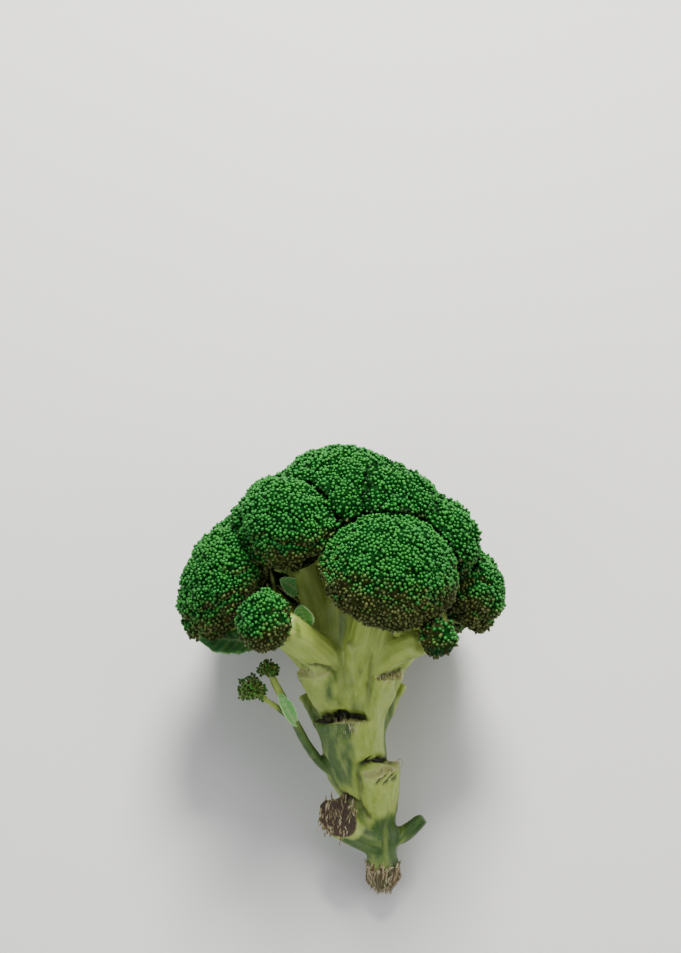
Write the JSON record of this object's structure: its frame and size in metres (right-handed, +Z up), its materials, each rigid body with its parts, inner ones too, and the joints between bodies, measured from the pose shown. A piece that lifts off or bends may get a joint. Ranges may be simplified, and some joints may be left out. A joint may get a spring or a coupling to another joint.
{
  "type": "head of broccoli",
  "caption": "Head of broccoli on a cut length of stalk, lying on its side: a dome of packed florets on branches, with stubs of cut leaves down the stalk and a few small leaves left on.",
  "frame": {"origin": "middle of the footprint of its bounding box, on the surface that it lies on", "axes": "+Y along the stalk from its cut end towards the crown, as seen from above; +Z up, away from the surface that it lies on, with the front of the head facing up; +X to the right of the head seen from its front"},
  "size_m": [0.1642, 0.2092, 0.1375],
  "materials": {
    "buds": "matt, finely beaded with closed flower buds, deep green",
    "stalk": "waxy, pale yellow-green, finely ridged along its length",
    "branch": "waxy, pale green",
    "leaf_base": "waxy, pale green, with fibrous cut ends",
    "shoot_stem": "waxy, pale green",
    "leaf": "waxy, dark blue-green",
    "dried_stump": "green bark with a dried brown cut face"
  },
  "bodies": {
    "root": {"branch_back": "branch", "branch_back_left": "branch", "branch_back_right": "branch", "branch_front_right": "branch", "branch_left": "branch", "branch_low_left": "branch", "branch_low_right": "branch", "branch_right": "branch", "branch_top": "branch", "branch_top_right": "branch", "branch_up_back_left": "branch", "branch_up_back_right": "branch", "branch_upper_left": "branch", "branch_upper_right": "branch", "bud_low_right": "leaf", "floret_back": "buds", "floret_back_left": "buds", "floret_back_right": "buds", "floret_front_right": "buds", "floret_left": "buds", "floret_low_left": "buds", "floret_low_right": "buds", "floret_right": "buds", "floret_top": "buds", "floret_top_right": "buds", "floret_up_back_left": "buds", "floret_up_back_right": "buds", "floret_upper_left": "buds", "floret_upper_right": "buds", "leaf_base_back": "leaf_base", "leaf_base_back_left": "leaf_base", "leaf_base_back_right": "leaf_base", "leaf_base_centre": "leaf_base", "leaf_base_front": "leaf_base", "leaf_base_left": "leaf_base", "leaf_base_low_right": "leaf_base", "leaf_base_right": "leaf_base", "leaf_under_left": "leaf", "leaflet_lower": "leaf", "leaflet_upper": "leaf", "shoot_buds_inner": "buds", "shoot_buds_outer": "buds", "shoot_leaf": "leaf", "shoot_stem": "shoot_stem", "shoot_twig": "shoot_stem", "stalk": "stalk", "stump_low_left": "dried_stump"}
  },
  "joints": []
}
